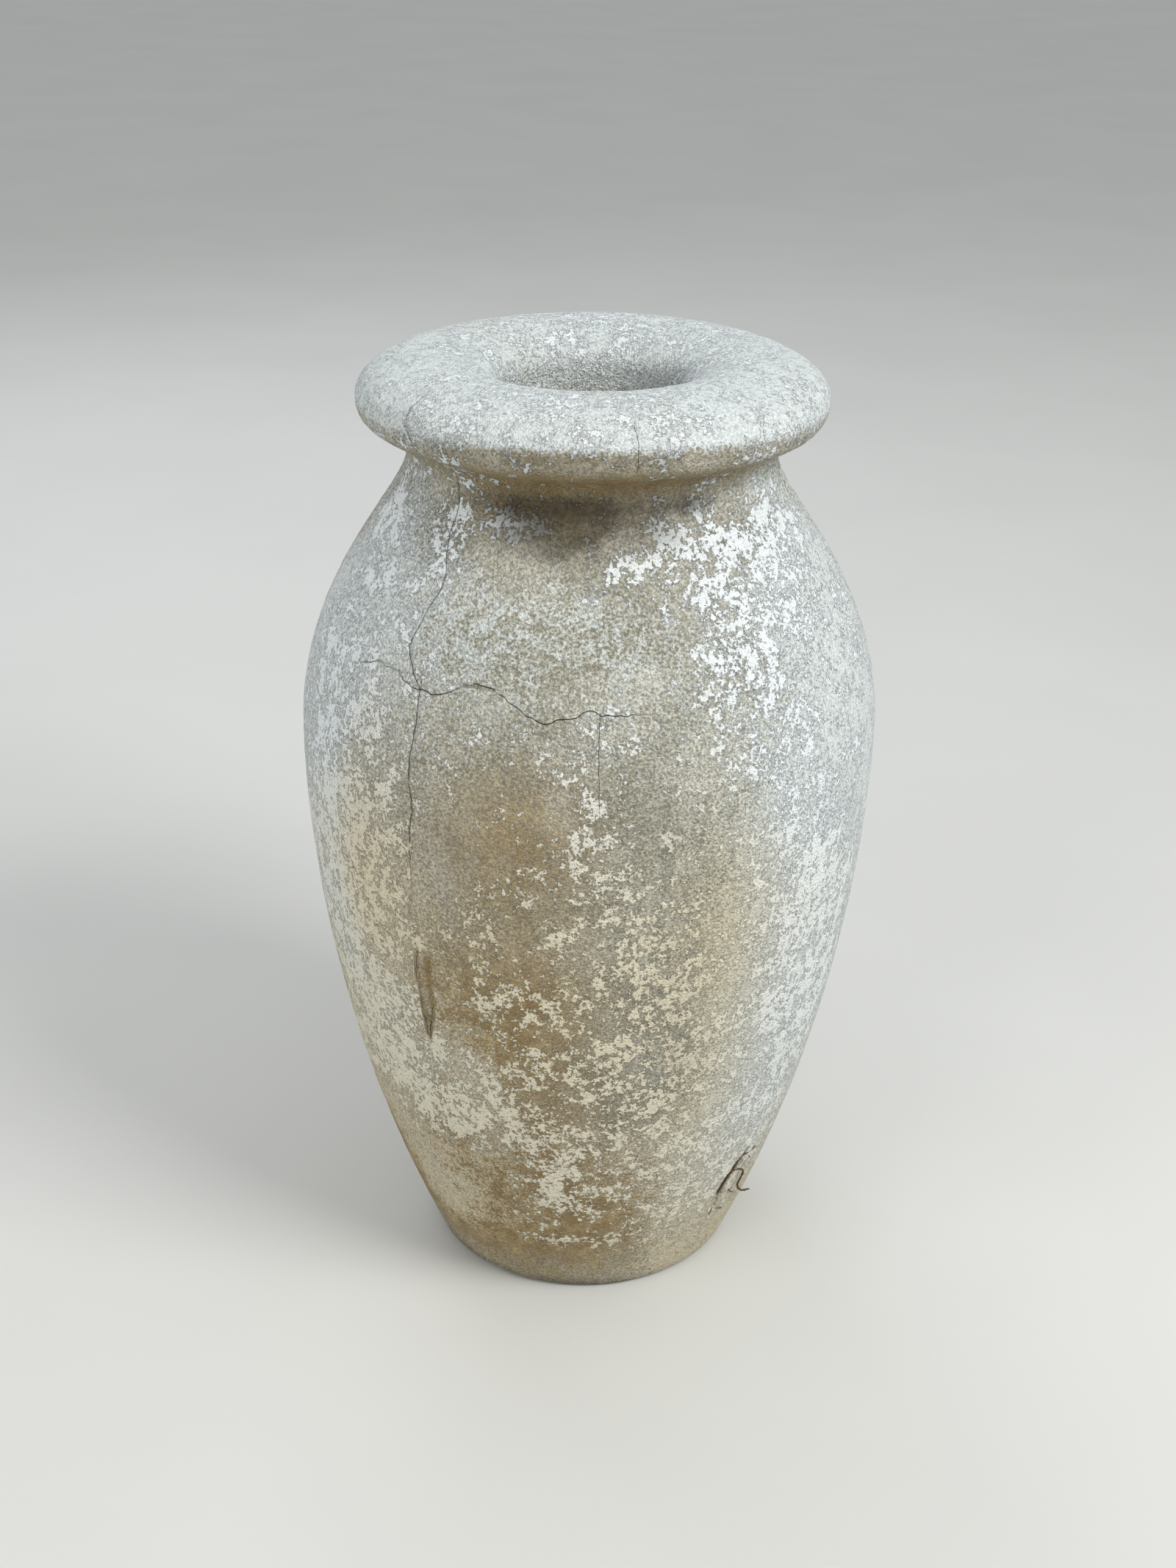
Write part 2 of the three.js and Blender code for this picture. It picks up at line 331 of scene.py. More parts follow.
# Where a thin film of wash greys the cement (positive) and where it is bare (negative). The bare rows under
# the rim and at the left of the foot take the film off as painted shade.
FILM_SPOTS = [
    (-72, 330, 20, 150, 0.45),
    (-48, 320, 16, 70, 0.30),
    (-42, 70, 20, 34, 0.22),
    (2, 205, 18, 36, -0.16),
    (-24, 190, 10, 46, 0.26),
    (54, 300, 18, 70, 0.22),
    (44, 65, 22, 60, 0.30),
    (46, 28, 22, 26, 0.34),
    (-58, 455, 14, 30, 0.22),
    (-58, 190, 18, 90, 0.30),
    (62, 280, 26, 190, 0.50),
    (44, 320, 16, 70, 0.25),
    (42, 170, 16, 130, 0.35),
    (62, 500, 22, 40, 0.25),
    (-66, 480, 16, 50, 0.20),
    (-12, 375, 18, 46, -0.24),
    (-14, 240, 18, 60, -0.18),
    (-14, 70, 46, 60, -0.18),
    # Painted shade: the film taken off under the rim and its lip
    (-2, 540, 34, 20, -0.60),
    (-5, 590, 60, 8, -0.30),
    # Painted shade at the left of the foot
    (-78, 60, 20, 70, -0.40),
    (-10, 30, 50, 20, -0.20),
    # Painted shade under the rim at the sides
    (0, 566, 70, 12, -0.50),
    (150, 420, 40, 90, 0.30),
    (-130, 350, 30, 120, 0.25),
]
# Warm ochre staining of the bare cement, and the rows from 543 to 590 mm paint the brown shade under the
# rim's lip
OCHRE_SPOTS = [
    (-13, 380, 17, 50, 0.50),
    (-13, 255, 17, 66, 0.62),
    (-40, 230, 16, 80, 0.55),
    (-25, 160, 24, 50, 0.50),
    (-16, 80, 40, 66, 0.85),
    (-60, 110, 26, 80, 0.60),
    # Painted shade on the underside of the rim's lip
    (-5, 590, 60, 7, 0.60),
    (-52, 385, 14, 34, 0.35),
    # Painted shade under the rim, at the front
    (0, 566, 62, 13, 1.00),
    (-14, 543, 30, 14, 0.55),
    (30, 455, 12, 40, 0.12),
    (120, 90, 60, 80, 0.65),
    (-130, 100, 60, 70, 0.65),
    (165, 330, 40, 80, 0.35),
    # Painted shade under the rim, at the back
    (180, 566, 70, 13, 0.70),
]
# Dark growth and soot, with painted shade: the rows from 526 to 586 mm are a dark stain under the rim
# deepened by painted shade of its lip, and the rows at the foot are painted shade where it meets the floor
SOOT_AND_SHADE_SPOTS = [
    # Below the rim's centre: a dark stain deepened by painted shade
    (-4, 549, 26, 10, 0.80),
    (-2, 537, 20, 9, 0.45),
    (-18, 532, 16, 9, 0.42),
    # Painted shade on the underside of the rim's lip
    (-5, 586, 60, 8, 0.42),
    (18, 532, 10, 8, 0.40),
    (-26, 548, 12, 8, 0.45),
    (30, 548, 12, 7, 0.45),
    (-8, 526, 16, 8, 0.28),
    # Painted shade under the rim at the sides
    (0, 567, 75, 10, 0.36),
    (17, 300, 8, 100, 0.20),
    (9, 395, 9, 40, 0.16),
    (22, 215, 8, 40, 0.18),
    # Painted shade along the foot where it meets the floor, deepest at the left
    (-8, 3, 70, 7, 0.50),
    (-8, 30, 60, 18, 0.16),
    (-75, 30, 24, 60, 0.25),
    (-150, 538, 26, 12, 0.55),
    (100, 400, 12, 80, 0.20),
    (-100, 330, 9, 110, 0.15),
]
# Lines over the surface, as plain shapes that noise makes wander. Levels are in mm, azimuths in degrees.
# The tear stands upright over a tie wire, and its top leans over towards +X.
TEAR_AT = 44
TEAR_LEAN = 7
TEAR_BEND = (80, 112)
# The rusty scar is a strip that widens upwards from nothing, right of a straight edge.
SCAR_AT = -35
SCAR_WIDE = 3
SCAR_SPREAD = (205, 262)
# The long crack's corners: foot, joint, sidestep over the joint, bend on the shoulder, rim.
LONG_CRACK = np.array([(315, -34), (450, -35), (470, -41), (505, -38), (600, -48)])
SHORT_CRACK_AT = 2
RIM_CRACK_AT = 10
# The level crack follows the straight joint, but swells over and under it: azimuth, half-width and rise.
LEVEL_SWELLS = [(-46, 7, 7), (-22, 7, 9), (-9, 5, -5)]
MM_PER_DEGREE = 3
SEAM_Z = SHOULDER_Z - 0.2 * MM


def level_crack_rise(azimuth):
    """How far the level crack stands above the straight joint at an azimuth, in metres."""
    turn = turn_of(azimuth)
    swell = sum(rise * np.exp(-(((turn - at) / across) ** 2)) for at, across, rise in LEVEL_SWELLS)
    along_it = np.stack([turn * MM_PER_DEGREE * MM, 0 * turn, 0 * turn], axis=-1)
    jag = 1.4 * lattice_noise(along_it, 0.0085, 15) + 0.7 * lattice_noise(along_it, 0.0036, 16)
    return (swell + jag * window(-58, -50, 10, 18, turn)) * MM


def level_crack_gape(azimuth):
    """Width of the level crack: open at the front left, shut elsewhere, in metres."""
    turn = turn_of(azimuth)
    return (0.04 + 0.32 * window(-56, -46, 4, 16, turn)) * MM


def tear_azimuth(level):
    """Where the tear runs at a level in mm."""
    return TEAR_AT + TEAR_LEAN * ease(*TEAR_BEND, level)


def across_from(line, turn, radius):
    """Distance round the surface, in mm, from a line that runs at the azimuth line. Positive towards +X."""
    return np.radians(turn - line) * radius / MM


def nearer(a, b):
    """Whichever of two signed distances is the smaller in size."""
    return np.where(np.abs(a) < np.abs(b), a, b)


def opened(distance, openness):
    """The distance from a crack, stretched where the crack is shut so that it closes up there."""
    return distance / np.maximum(openness, 0.01)


FAR = 99.0  # a distance in mm that is clear of every line


def wear_of(azimuth, level, points, out_of_sight):
    """Everything that weather has done at each place, and the shade painted under the rim and round the
    foot, as a dict of arrays.
    out_of_sight is 1 on the jar's hidden inner faces, which never had any wash."""
    radius = np.hypot(points[..., 0], points[..., 1])
    turn = turn_of(azimuth)
    big = lattice_noise(points, 0.110, 3)
    patch = 0.60 * lattice_noise(points, (0.020, 0.020, 0.026), 5) + 0.40 * lattice_noise(points, 0.009, 7)
    on_rim = ease(0.580, 0.599, level) * ease(0.055, 0.07, radius)
    in_throat = 1 - ease(0.075, 0.105, radius)
    upper = ease(0.30, 0.50, level)
    flake = 0.415 + 0.04 * big + 0.12 * patch + spots(azimuth, level, FLAKE_SPOTS)
    flake = flake + 0.02 * on_rim + 0.05 * in_throat
    flake = 0.41 + 0.16 * np.tanh((flake - 0.41) / 0.16)
    film = 0.52 + 0.10 * big + 0.08 * patch + spots(azimuth, level, FILM_SPOTS)
    film = film + 0.75 * on_rim + 0.20 * in_throat
    ochre = spots(azimuth, level, OCHRE_SPOTS) + 0.10 * big + 0.08 * patch + 0.22 * (1 - upper)
    ochre = ochre * (1 - 0.9 * on_rim)
    # Dark soot, and the painted shade under the rim and round the foot
    soot_and_shade = spots(azimuth, level, SOOT_AND_SHADE_SPOTS) * (1 + 0.35 * patch)
    jag = 1.5 * lattice_noise(points, 0.011, 11) + 0.8 * lattice_noise(points, 0.0048, 12)
    wander = 1.8 * lattice_noise(points, 0.024, 32)
    scar_edge = SCAR_AT + SCAR_WIDE * ease(*SCAR_SPREAD, level / MM)
    left = across_from(SCAR_AT, turn, radius) + wander + 0.4 * jag
    right = across_from(scar_edge, turn, radius) + wander - 0.4 * jag
    tear = across_from(tear_azimuth(level / MM), turn, radius) + 0.3 * jag
    scar_seen = window(0.206, 0.238, 0.276, 0.296, level)
    between = ease(-3.5, -0.5, left) * (1 - ease(0.5, 3.5, right))
    fibres = lattice_noise(points, (0.0035, 0.0035, 0.020), 31)
    rust = 0.42 * between + 0.50 * np.exp(-((left / 1.8) ** 2)) + 0.60 * np.exp(-((right / 2.4) ** 2))
    rust = scar_seen * rust * (1 + 0.45 * fibres + 0.3 * patch)
    rust = rust + 0.55 * np.exp(-((tear / 3.5) ** 2)) * window(0.050, 0.075, 0.096, 0.115, level)
    tear_open = window(0.069, 0.076, 0.096, 0.112, level) + 0.6 * window(0.047, 0.051, 0.055, 0.059, level)
    streak = window(-8, 12, 66, 90, turn) * window(0.09, 0.16, 0.36, 0.44, level)
    path = np.interp(level / MM, LONG_CRACK[:, 0], LONG_CRACK[:, 1])
    long_crack = across_from(path, turn, radius) + jag + wander
    long_open = window(0.31, 0.38, 0.600, 0.608, level) * (1 - 0.35 * ease(0.462, 0.475, level))
    long_open = long_open * (0.8 + 0.3 * lattice_noise(points, 0.03, 14))
    level_crack = (level - SEAM_Z - level_crack_rise(azimuth)) / MM
    level_open = window(-56, -50, 4, 13, turn)
    short_crack = across_from(SHORT_CRACK_AT, turn, radius) + 0.6 * jag
    short_open = 0.55 * window(0.385, 0.405, 0.448, 0.452, level)
    rim_crack = across_from(RIM_CRACK_AT, turn, radius) + jag
    rim_open = 0.5 * window(0.574, 0.582, 0.600, 0.607, level)
    outer = ease(0.10, 0.11, radius)
    hair = nearer(opened(long_crack, long_open * outer), opened(rim_crack, rim_open * outer))
    right_side = window(20, 48, 90, 175, turn) * ease(0.04, 0.22, level)
    left_side = window(46, 62, 90, 130, -turn) * ease(0.20, 0.30, level)
    chill = 0.05 + 0.95 * upper + 0.20 * big + 0.9 * right_side + 0.6 * left_side
    groove = nearer(opened(tear, tear_open), opened(left, 0.25 * scar_seen))
    right_edge = opened(right, 0.55 * scar_seen * (0.4 + 1.2 * fibres))
    return {
        "flake": flake - 1.2 * out_of_sight,
        "film": film - 0.6 * out_of_sight,
        "ochre": np.clip(ochre, 0, 1.2),
        "soot_and_shade": np.clip(soot_and_shade + 0.35 * out_of_sight, 0, 1),
        "rust": np.clip(rust, 0, 1),
        "streak": streak,
        "chill": np.clip(chill, 0, 1),
        "hair": nearer(hair, opened(short_crack, short_open)),
        "level": opened(level_crack, level_open),
        "groove": nearer(groove, right_edge),
        "tear": np.where(outer > 0, tear, FAR),
        "scar": np.where(outer > 0, scar_seen * between, 0.0),
        "fibres": fibres,
    }


SET_BACK = 0.50  # mm that the whole skin stands behind the outline, to leave its lumps some room


def skin_height(azimuth, level, points, wear):
    """How far the surface stands out from the outline, in metres: the maker's unevenness, sand, the flakes
    of wash, the cracks, the fibrous scar and the split with its lifted edge."""
    lumps = 0.50 * lattice_noise(points, 0.15, 21) + 0.26 * lattice_noise(points, 0.055, 22)
    sand = 0.16 * lattice_noise(points, 0.012, 23) + 0.14 * lattice_noise(points, 0.0042, 24)
    flakes = 0.35 * ease(0.46, 0.54, wear["flake"])
    grooves = -0.7 * np.exp(-((wear["hair"] / 1.0) ** 2)) - 0.3 * np.exp(-((wear["level"] / 1.1) ** 2))
    grooves = grooves - 0.8 * np.exp(-((wear["groove"] / 1.1) ** 2))
    scar = wear["scar"] * (0.5 + 1.1 * wear["fibres"])
    tear = wear["tear"]
    at_tear = window(0.069, 0.078, 0.094, 0.110, level)
    wider = window(0.040, 0.060, 0.100, 0.125, level)
    split = np.exp(-((tear / 1.0) ** 2)) * at_tear
    lifted = window(-0.5, 1.2, 5, 17, tear) * wider
    crumbs = 0.6 * lattice_noise(points, 0.005, 33) * np.exp(-((tear / 9) ** 2)) * wider
    total = lumps + sand + flakes + grooves + scar - 4.2 * split + 1.6 * lifted + crumbs
    return (total - SET_BACK) * MM


# ---- Castings ----


def columns(count):
    """Azimuths round the jar, closer together over the long crack and the split, and over the front. The
    spacing is the reverse of a density of one plus a bell over each."""
    fine = np.linspace(-180, 180, 4001)
    density = 1 + 1.1 * np.exp(-(((fine + 37) / 12) ** 2)) + 1.3 * np.exp(-(((fine - 48) / 8) ** 2))
    density += 0.45 * np.exp(-((fine / 75) ** 4))
    total = np.r_[0, np.cumsum((density[1:] + density[:-1]) / 2)]
    return np.interp(np.linspace(0, total[-1], count, endpoint=False), total, fine)


def closed_mesh(name, points, attributes, sharp_rows=()):
    """A mesh from a grid of points that closes on itself both ways, with faces outwards and smooth shading
    but for the sharp rows. The grid's first way goes up the outside and down the inside, the second goes
    round towards +X."""
    rows, cols = points.shape[:2]
    index = np.arange(rows * cols).reshape(rows, cols)
    right = np.roll(index, -1, axis=1)
    up = np.roll(index, -1, axis=0)
    quads = np.stack([index, right, np.roll(right, -1, axis=0), up], axis=-1).reshape(-1, 4)
    mesh = bpy.data.meshes.new(name)
    mesh.vertices.add(rows * cols)
    mesh.vertices.foreach_set("co", points.astype(np.float32).ravel())
    mesh.loops.add(quads.size)
    mesh.loops.foreach_set("vertex_index", quads.astype(np.int32).ravel())
    mesh.polygons.add(len(quads))
    mesh.polygons.foreach_set("loop_start", np.arange(0, quads.size, 4, dtype=np.int32))
    mesh.polygons.foreach_set("use_smooth", np.ones(len(quads), bool))
    mesh.update(calc_edges=True)
    ends = np.empty(2 * len(mesh.edges), np.int32)
    mesh.edges.foreach_get("vertices", ends)
    row_of = ends.reshape(-1, 2) // cols
    sharp = (row_of[:, 0] == row_of[:, 1]) & np.isin(row_of[:, 0], sharp_rows)
    mesh.attributes.new("sharp_edge", "BOOLEAN", "EDGE").data.foreach_set("value", sharp)
    for title, values in attributes.items():
        kind, field = ("FLOAT", "value") if values.shape[-1] == 1 else ("FLOAT_VECTOR", "vector")
        layer = mesh.attributes.new(title, kind, "POINT")
        layer.data.foreach_set(field, values.astype(np.float32).ravel())
    piece = bpy.data.objects.new(name, mesh)
    bpy.context.scene.collection.objects.link(piece)
    return piece


def turned_casting(name, low_s, high_s, rows, back, cols, seam_low=False, seam_high=False):
    """One casting: the skin line from low_s to high_s carried round the jar and pushed out by skin_height,
    then closed behind by the back line. A seam end follows the level crack, with half the crack's width
    taken off."""
    azimuth = columns(cols)[None, :]
    s = np.repeat(np.linspace(low_s, high_s, rows)[:, None], cols, axis=1)
    seam_s = along(SEAM_Z)
    if seam_low or seam_high:
        nearness = 1 - ease(0.0, 0.035, np.abs(s - seam_s))
        shift = along(SEAM_Z + level_crack_rise(azimuth)) - seam_s
        shift = shift + (0.5 if seam_low else -0.5) * level_crack_gape(azimuth)
        s = s + shift * nearness
    radius = np.interp(s, skin_s, skin_line[:, 0])
    level = np.interp(s, skin_s, skin_line[:, 1])
    step = 0.6 * MM
    d_r = np.interp(s + step, skin_s, skin_line[:, 0]) - np.interp(s - step, skin_s, skin_line[:, 0])
    d_z = np.interp(s + step, skin_s, skin_line[:, 1]) - np.interp(s - step, skin_s, skin_line[:, 1])
    size = np.hypot(d_r, d_z)
    out_r, out_z = d_z / size, -d_r / size
    turn = np.radians(azimuth)
    round_x, round_y = np.sin(turn), -np.cos(turn)
    place = np.stack([radius * round_x, radius * round_y, level], axis=-1)
    angle = np.broadcast_to(azimuth, level.shape)
    wear = wear_of(angle, level, place, 0.0)
    height = skin_height(angle, level, place, wear)
    radius = np.minimum(radius + height * out_r, BELLY_R)
    level = np.clip(level + height * out_z, 0, HEIGHT)
    skin = np.stack([radius * round_x, radius * round_y, level], axis=-1)
    back = np.asarray(back, float)
    back_r = np.repeat(back[:, :1], cols, axis=1)
    back_z = np.repeat(back[:, 1:], cols, axis=1)
    rough = np.stack([back_r * round_x, back_r * round_y, back_z], axis=-1)
    hidden_wear = wear_of(np.broadcast_to(azimuth, back_z.shape), back_z, rough, 1.0)
    if seam_high:
        back_z[0] += level_crack_rise(azimuth)[0]
    if seam_low:
        back_z[-1] += level_crack_rise(azimuth)[0]
    behind = np.stack([back_r * round_x, back_r * round_y, back_z], axis=-1)
    points = np.concatenate([skin, behind])
    every = {key: np.concatenate([wear[key], hidden_wear[key]]) for key in wear}
    return closed_mesh(
        name,
        points,
        {
            "lime": np.stack([every["flake"], every["film"], every["chill"]], axis=-1),
            # ochre and soot carry painted shade under the rim and round the foot as well as real stains
            "stain_and_shade": np.stack([every["ochre"], every["soot_and_shade"], every["rust"]], axis=-1),
            "streak": every["streak"][..., None],
            "cracks": np.stack([every["hair"], every["level"], every["groove"]], axis=-1),
        },
        sharp_rows=(0, rows - 1, rows, rows + 1),
    )


def inside_r(level):
    """Radius of the jar's hollow at a level."""
    return np.interp(level, inside[:, 1], inside[:, 0])


COVER = 4 * MM  # depth of the skin that a casting laps over the mortar joint above it


def lap(level_top, level_cad):
    """The back line where a casting's skin laps over the joint: in by COVER, then down to the casting's
    own top."""
    r = float(np.interp(level_top, outside[:, 1], outside[:, 0])) - COVER
    return [(r, level_top - 0.1 * MM), (r, level_cad)]


def shelf(level, outer_r, inner_r, count=4):
    """Points straight across a joint face."""
    return [(r, level) for r in np.linspace(outer_r, inner_r, count)]


slab_back = (
    lap(BODY_Z, SLAB_Z)
    + shelf(SLAB_Z, 0.092, DRAIN_R, 6)
    + [(DRAIN_R, SLAB_Z * 2 / 3), (DRAIN_R, SLAB_Z / 3)]
    + shelf(0.0, DRAIN_R, FOOT_R - FOOT_EDGE, 6)
)
foot_slab = turned_casting(
    "foot_slab_cement", along(FOOT_EDGE), along(BODY_Z - 0.1 * MM), 30, slab_back, 560
)

body_back = (
    lap(SEAM_Z, BODY_TOP)
    + shelf(BODY_TOP, 0.150, float(inside_r(BODY_TOP)), 3)
    + [tuple(p) for p in inside_between(BODY_TOP - 2 * MM, BODY_Z + 2 * MM, 18)]
    + shelf(BODY_Z, float(inside_r(BODY_Z)), 0.110, 3)
)
body_wall = turned_casting(
    "body_wall_cement", along(BODY_Z), along(SEAM_Z), 152, body_back, 556, seam_high=True
)

shoulder_back = (
    lap(NECK_Z, SHOULDER_TOP)
    + shelf(SHOULDER_TOP, 0.100, float(inside_r(SHOULDER_TOP)), 3)
    + [tuple(p) for p in inside_between(SHOULDER_TOP - 2 * MM, SHOULDER_Z + 2 * MM, 10)]
    + shelf(SHOULDER_Z, float(inside_r(SHOULDER_Z)), 0.158, 3)
)
shoulder_wall = turned_casting(
    "shoulder_wall_cement", along(SEAM_Z), along(NECK_Z - 0.1 * MM), 118, shoulder_back, 720, seam_low=True
)

rim_back = shelf(NECK_Z, THROAT_R + 2 * MM, NECK_R - 4 * MM, 5)
rim_ring = turned_casting("rim_ring_cement", along(NECK_Z), float(skin_s[-1]), 132, rim_back, 720)


def mortar_joint(name, low, high):
    """A ring of mortar between two levels: a rectangle of section carried round, its outer face uneven,
    set back behind the skin that laps over it."""
    cols = 240
    azimuth = columns(cols)[None, :]
    outer = float(np.interp(low, outside[:, 1], outside[:, 0])) - COVER - 0.6 * MM
    inner = float(inside_r(high)) + 0.6 * MM
    section = shelf(low, inner, outer, 5) + shelf(high, outer, inner, 5)
    r = np.repeat(np.array([p[0] for p in section])[:, None], cols, axis=1)
    z = np.repeat(np.array([p[1] for p in section])[:, None], cols, axis=1)
    turn = np.radians(azimuth)
    rough = np.stack([r * np.sin(turn), -r * np.cos(turn), z], axis=-1)
    r = r + 0.35 * MM * (lattice_noise(rough, 0.012, 43) - 1) * np.isin(np.arange(10), (4, 5))[:, None]
    return closed_mesh(name, np.stack([r * np.sin(turn), -r * np.cos(turn), z], axis=-1), {}, range(10))


joints = {}
for bed in ("foot", "shoulder", "neck"):
    low, high = (float(corner[2]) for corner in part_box("bed_" + bed))
    joints[bed] = mortar_joint("mortar_joint_" + bed, low, high)

# ---- Frayed tie wire in the split ----


def smooth_path(points, count):
    """A Catmull-Rom curve through the points, evenly spread over them."""
    p = np.array(points, float)
    p = np.concatenate([2 * p[:1] - p[1:2], p, 2 * p[-1:] - p[-2:-1]])
    u = np.linspace(0, len(p) - 3 - 1e-9, count)
    k = u.astype(int)
    t = (u - k)[:, None]
    a, b, c, d = p[k], p[k + 1], p[k + 2], p[k + 3]
    return 0.5 * (2 * b + (c - a) * t + (2 * a - 5 * b + 4 * c - d) * t**2 + (3 * b - a - 3 * c + d) * t**3)


STRAND_STEPS = 90
STRAND_SIDES = 12


def frayed_strand(name, places, thick, seed):
    """A rusted strand: a circle carried along a smooth path, swollen and pinched by noise, and drawn in at
    both ends. places are azimuth in degrees, level in mm and how far out from the wall in mm."""
    turn, level, out = smooth_path(places, STRAND_STEPS).T
    turn = np.radians(turn)
    level = level * MM
    radius = np.interp(level, outside[:, 1], outside[:, 0]) + out * MM
    centre = np.stack([radius * np.sin(turn), -radius * np.cos(turn), level], axis=-1)
    forward = np.gradient(centre, axis=0)
    forward /= np.linalg.norm(forward, axis=1, keepdims=True)
    outward = np.stack([np.sin(turn), -np.cos(turn), np.zeros_like(turn)], axis=-1)
    sideways = np.cross(forward, outward)
    sideways /= np.linalg.norm(sideways, axis=1, keepdims=True)
    normal = np.cross(sideways, forward)
    around = np.linspace(0, 2 * math.pi, STRAND_SIDES, endpoint=False)[None, :, None]
    taper = np.sqrt(1.02 - np.linspace(-1, 1, STRAND_STEPS) ** 8)
    ring = np.cos(around) * sideways[:, None, :] + np.sin(around) * normal[:, None, :]
    rough = centre[:, None, :] + thick * ring
    girth = thick * taper[:, None] * (1 + 0.45 * lattice_noise(rough, 0.0016, seed))
    points = centre[:, None, :] + girth[..., None] * ring
    index = np.arange(STRAND_STEPS * STRAND_SIDES).reshape(STRAND_STEPS, STRAND_SIDES)
    right = np.roll(index, -1, axis=1)
    quads = np.stack([index[:-1], index[1:], right[1:], right[:-1]], axis=-1).reshape(-1, 4)
    mesh = bpy.data.meshes.new(name)
    caps = [index[0].tolist(), index[-1][::-1].tolist()]
    mesh.from_pydata(points.reshape(-1, 3).tolist(), [], quads.tolist() + caps)
    mesh.shade_smooth()
    piece = bpy.data.objects.new(name, mesh)
    bpy.context.scene.collection.objects.link(piece)
    return piece


def wire_hair(name, start, across, up, thick, seed):
    """A short hair of wire that leaves the wall at start, stands a little out and ends across and up from
    there."""
    azimuth, level = start
    bend = (azimuth + across / 2, level + 0.6 * up, 1.4)
    end = (azimuth + across, level + up, 1.8)
    return frayed_strand(name, [(azimuth, level, -0.8), bend, end], thick, seed)


# The hooked strand leaves the split, turns over, runs down beside it and flicks outwards.
hook = frayed_strand(
    "hooked_strand",
    [(45, 90, -1.5), (48, 91, 1.5), (51, 84, 2.5), (51, 72, 2.5), (53, 65, 5), (57, 61, 8)],
    0.70 * MM,
    51,
)
straight = frayed_strand(
    "straight_strand",
    [(tear_azimuth(level), level, out) for level, out in ((105, -1.8), (95, -0.6), (82, 0), (70, -1.8))],
    0.72 * MM,
    57,
)
hairs = [
    wire_hair("wire_hair_high", (49, 101), 4, 4, 0.40 * MM, 61),
    wire_hair("wire_hair_side", (50, 103), 3, -9, 0.40 * MM, 62),
    wire_hair("wire_hair_middle", (47, 74), 4, -10, 0.45 * MM, 63),
    wire_hair("wire_hair_low", (45, 57), 3, -4, 0.40 * MM, 64),
]

# ---- Materials ----


def new_material(name):
    """An empty node material: its tree, its shader and the object's own coordinates."""
    material = bpy.data.materials.new(name)
    material.use_nodes = True
    tree = material.node_tree
    return material, tree, tree.nodes["Principled BSDF"], add(tree, "ShaderNodeTexCoord").outputs["Object"]


